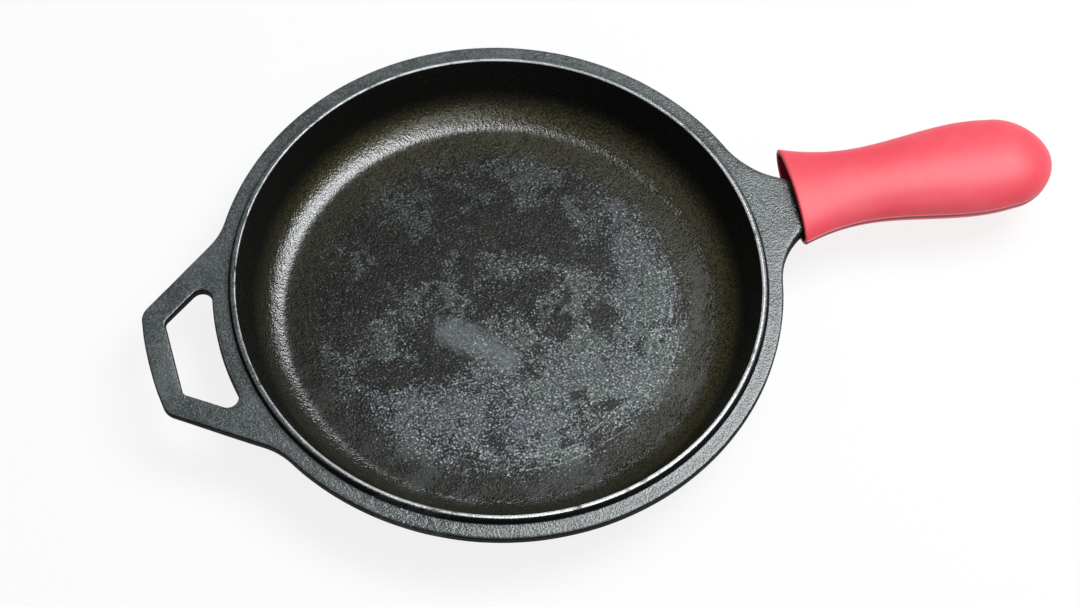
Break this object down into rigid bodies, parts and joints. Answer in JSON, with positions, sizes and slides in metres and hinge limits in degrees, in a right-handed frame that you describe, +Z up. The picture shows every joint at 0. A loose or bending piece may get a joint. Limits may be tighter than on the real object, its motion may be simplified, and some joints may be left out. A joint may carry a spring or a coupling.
{
  "type": "skillet",
  "caption": "Shallow round cast iron skillet with a flat rim, an open helper loop opposite the handle, and a slip-on silicone sleeve on the handle.",
  "frame": {"origin": "centre of the flat base", "axes": "+X from the bowl's axis along the grip, +Z up out of the bowl"},
  "size_m": [0.4693, 0.28, 0.0452],
  "materials": {
    "iron": "seasoned, dark grey to black, fine sand-cast grain",
    "silicone": "satin"
  },
  "bodies": {
    "skillet": {"skillet_casting": "iron"},
    "sleeve": {"handle_sleeve": "silicone"}
  },
  "joints": [
    {"name": "sleeve_slide", "type": "slide", "parent": "skillet", "child": "sleeve", "axis": [1, 0, 0], "range_m": [0, 0.15]}
  ]
}
